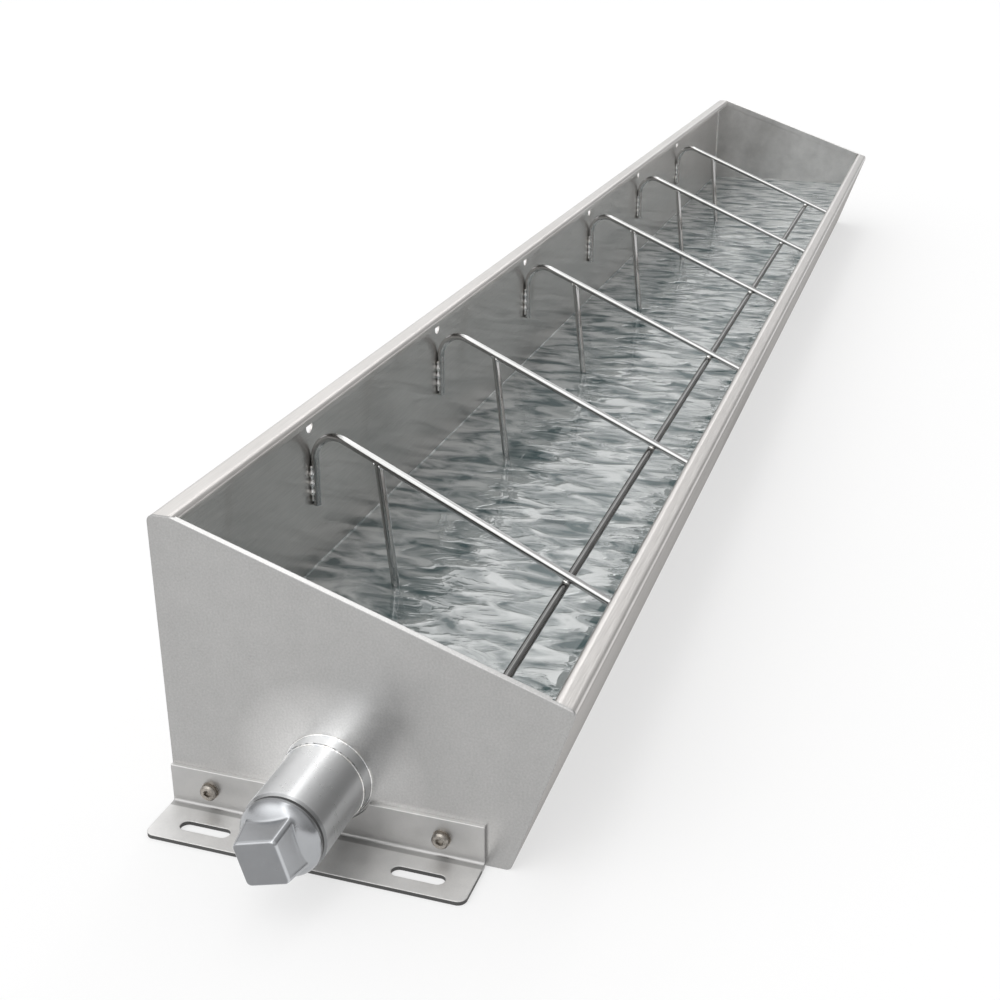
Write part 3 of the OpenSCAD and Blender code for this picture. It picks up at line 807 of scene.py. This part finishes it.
def tie_beads():
    """Short beads on both sides of each rod where the tie bar crosses under it."""
    skins = []
    half, beside, size, first_seed = 2.6, 2.6, 1.4, 40
    point = ROD_END - TIE_SETBACK * ROD_ALONG
    along = heading(ROD_ALONG)
    below = ALONG.cross(along).normalized()
    below *= math.copysign(1, -below.z)
    for i in range(ROD_COUNT):
        touch = in_trough(i, point) + (ROD_R + JOINT_GAP / 2) * below
        for side in (-1, 1):
            middle = touch + side * beside * ALONG
            path = straight(middle - half * along, middle + half * along)
            skins.append(bead(path, size, below, first_seed + 2 * i + side))
    return skins


def rod_end_beads():
    """Bead round each rod's end on the front wall."""
    skins = []
    radius, off_wall, size, first_seed = ROD_R + 0.4, 0.6, 1.1, 60
    rod = heading(ROD_ALONG)
    wall = Vector((0, *FRONT_IN))
    across = rod.cross(UPWARD).normalized()
    over = rod.cross(across)
    count = steps(TURN * radius)
    for i in range(ROD_COUNT):
        path = []
        for k in range(count):
            angle = TURN * k / count
            off = radius * (math.cos(angle) * across + math.sin(angle) * over)
            path.append(in_trough(i, ROD_END) + off + (off_wall - off.dot(wall)) / rod.dot(wall) * rod)
        skins.append(bead(path, size, rod, first_seed + i, joined=True))
    return skins


def drain_beads():
    """Beads round the drain's collar: at the end plate and on the socket."""
    skins = []
    off, size, lump, first_seed = 0.5, 0.7, 0.04, 80
    for i, (radius, out) in enumerate(((COLLAR_R, 0), (SOCKET_R, COLLAR_LENGTH))):
        middle = Vector((-HALF_LENGTH - out - off, DRAIN_SIDE, DRAIN_HEIGHT))
        count = steps(TURN * (radius + off))
        angles = [TURN * k / count for k in range(count)]
        path = [middle + Vector((0, math.cos(a), math.sin(a))) * (radius + off) for a in angles]
        skins.append(bead(path, size, ALONG, first_seed + i, joined=True, lump=lump))
    return skins


def seam_beads():
    """Beads in the inside corners where the sheet meets both end plates."""
    skins = []
    size, inset, low = 1.3, 0.5, SHEET + FOLD
    back_top, front_top = 207, 108
    back, front_low, front_high = WALL_FACE - inset, front_face(low) + inset, front_face(front_top) + inset
    for end, first_seed in ((-1, 90), (1, 93)):
        x = end * (HALF_LENGTH - PLATE - inset)
        lines = (
            ((x, back, low), (x, back, back_top)),
            ((x, front_low, low), (x, front_high, front_top)),
            ((x, front_low, SHEET + inset), (x, back, SHEET + inset)),
        )
        for k, (start, stop) in enumerate(lines):
            skins.append(bead(straight(Vector(start), Vector(stop)), size, ALONG, first_seed + k))
    return skins


def weld_beads():
    """Weld beads that stand for the CAD's weld nodes, and the seams' beads, which stand for none."""
    finish = weld_metal()
    makers = {"stub_welds": stub_beads, "leg_welds": leg_beads, "tie_welds": tie_beads,
              "rod_end_welds": rod_end_beads, "drain_welds": drain_beads}
    for node, maker in makers.items():
        piece = build(node.replace("welds", "beads"), maker(), finish)
        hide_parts(node)
    build("seam_beads", seam_beads(), finish)


def ripple_height(x, y):
    """Height of the rippled water over its level."""
    return sum(height * noise.noise((x / along, y / across, layer))
               for along, across, layer, height in RIPPLES)


def water_ring(x):
    """Outline of the water at one place along the trough: rippled top, then round the walls and bottom."""
    back = WALL_FACE + WATER_SINK
    front = front_face(WATER_LEVEL) - WATER_SINK
    count = round((back - front) / WATER_STEP)
    edge = [MENISCUS_WIDTH * k / MENISCUS_STEPS for k in range(MENISCUS_STEPS)]
    open_from, open_to = back - MENISCUS_WIDTH, front + MENISCUS_WIDTH
    open_water = [mixed(open_from, open_to, k / count) for k in range(count + 1)]
    ring = []
    for y in [back - off for off in edge] + open_water + [front + off for off in reversed(edge)]:
        climb = max(1 - min(back - y, y - front) / MENISCUS_WIDTH, 0)
        ring.append((x, y, WATER_LEVEL + ripple_height(x, y) + MENISCUS_HEIGHT * climb ** 2))
    radius = FOLD + WATER_SINK
    low = SHEET + FOLD
    turn = TURN / 4 - FRONT_LEAN
    front_middle = front_face(0) + FOLD * math.tan(turn / 2) - SHEET * math.tan(FRONT_LEAN)
    back_middle = WALL_FACE - FOLD
    corners = ((front_middle, TURN / 2 + FRONT_LEAN, turn), (back_middle, TURN * 3 / 4, TURN / 4))
    for middle, start, by in corners:
        for k in range(CORNER_STEPS):
            angle = start + by * k / (CORNER_STEPS - 1)
            ring.append((x, middle + radius * math.cos(angle), low + radius * math.sin(angle)))
    return ring


def water():
    """Water in the trough: contents, so it stands for no CAD node."""
    reach = HALF_LENGTH - PLATE + WATER_SINK
    count = round(2 * reach / WATER_STEP)
    rings = [water_ring(mixed(-reach, reach, k / count)) for k in range(count + 1)]
    build("water_fill", [skin(rings)], water_material())


def floor():
    """Wide pale floor, a little below the feet, that looks almost white and still takes shadows."""
    half, level = 150, -0.3 * MM
    tone, rough, white_share = (0.95, 0.95, 0.95, 1), 0.9, 0.58
    corners = [(-half, -half, level), (half, -half, level), (half, half, level), (-half, half, level)]
    mesh = bpy.data.meshes.new("floor")
    mesh.from_pydata(corners, [], [(0, 1, 2, 3)])
    plane = bpy.data.objects.new("floor", mesh)
    bpy.context.scene.collection.objects.link(plane)
    material, tree, shader = new_material("pale_floor")
    feed(tree, shader, {"Base Color": tone, "Roughness": rough, "Specular IOR Level": 0.0})
    white = add_node(tree, "ShaderNodeEmission", {"Color": (1, 1, 1, 1), "Strength": 1})
    path = add_node(tree, "ShaderNodeLightPath")
    seen = math_node(tree, "ADD", path.outputs["Is Camera Ray"], path.outputs["Is Glossy Ray"])
    seen = math_node(tree, "MAXIMUM", seen, path.outputs["Is Transmission Ray"])
    inputs = {0: math_node(tree, "MULTIPLY", seen, white_share), 1: shader.outputs[0], 2: white.outputs[0]}
    mix = add_node(tree, "ShaderNodeMixShader", inputs)
    tree.links.new(mix.outputs[0], tree.nodes["Material Output"].inputs["Surface"])
    mesh.materials.append(material)


def glow(tree, ray, towards, spread, strength):
    """Soft patch of light in the sky about one direction."""
    inputs = {0: ray, 1: Vector(towards).normalized()}
    facing = vector_node(tree, "DOT_PRODUCT", inputs, "Value")
    patch = math_node(tree, "POWER", math_node(tree, "MAXIMUM", facing, 0), spread)
    return math_node(tree, "MULTIPLY", patch, strength)


def light():
    """Even studio sky, brighter overhead, with a soft panel to each end and a strip over the trough."""
    horizon, overhead = 0.28, 0.38
    # Direction, spread and strength of the panels and the strip
    panels = (((0.75, 0.40, 0.50), 6, 0.7), ((-0.75, 0.40, 0.50), 4, 1.5))
    strip = ((0, 0.09, 1), 110, 1.5)
    world = bpy.data.worlds.new("studio")
    bpy.context.scene.world = world
    world.use_nodes = True
    tree = world.node_tree
    ray = add_node(tree, "ShaderNodeTexCoord").outputs["Generated"]
    height = add_node(tree, "ShaderNodeSeparateXYZ", {"Vector": ray}).outputs["Z"]
    total = math_node(tree, "MULTIPLY", math_node(tree, "MAXIMUM", height, 0), overhead)
    total = math_node(tree, "ADD", total, horizon)
    for panel in panels:
        total = math_node(tree, "ADD", total, glow(tree, ray, *panel))
    across = vector_node(tree, "MULTIPLY", {0: ray, 1: (0, 1, 1)})
    across = vector_node(tree, "NORMALIZE", {0: across})
    total = math_node(tree, "ADD", total, glow(tree, across, *strip))
    feed(tree, tree.nodes["Background"], {"Color": (1, 1, 1, 1), "Strength": total})


def camera():
    """Camera at the photograph's place and angle."""
    data = bpy.data.cameras.new("camera")
    data.lens = CAMERA_LENS
    data.sensor_width = CAMERA_SENSOR
    data.clip_start, data.clip_end = CAMERA_CLIP
    piece = bpy.data.objects.new("camera", data)
    bpy.context.scene.collection.objects.link(piece)
    level = math.cos(CAMERA_PITCH)
    ahead = Vector((math.cos(CAMERA_YAW) * level, math.sin(CAMERA_YAW) * level, -math.sin(CAMERA_PITCH)))
    piece.location = CAMERA_PLACE
    piece.rotation_mode = "QUATERNION"
    piece.rotation_quaternion = ahead.to_track_quat("-Z", "Y")
    bpy.context.scene.camera = piece


camera()
finishes()
plug()
screws()
weld_beads()
water()
floor()
light()
bpy.context.scene.view_settings.view_transform = "Standard"
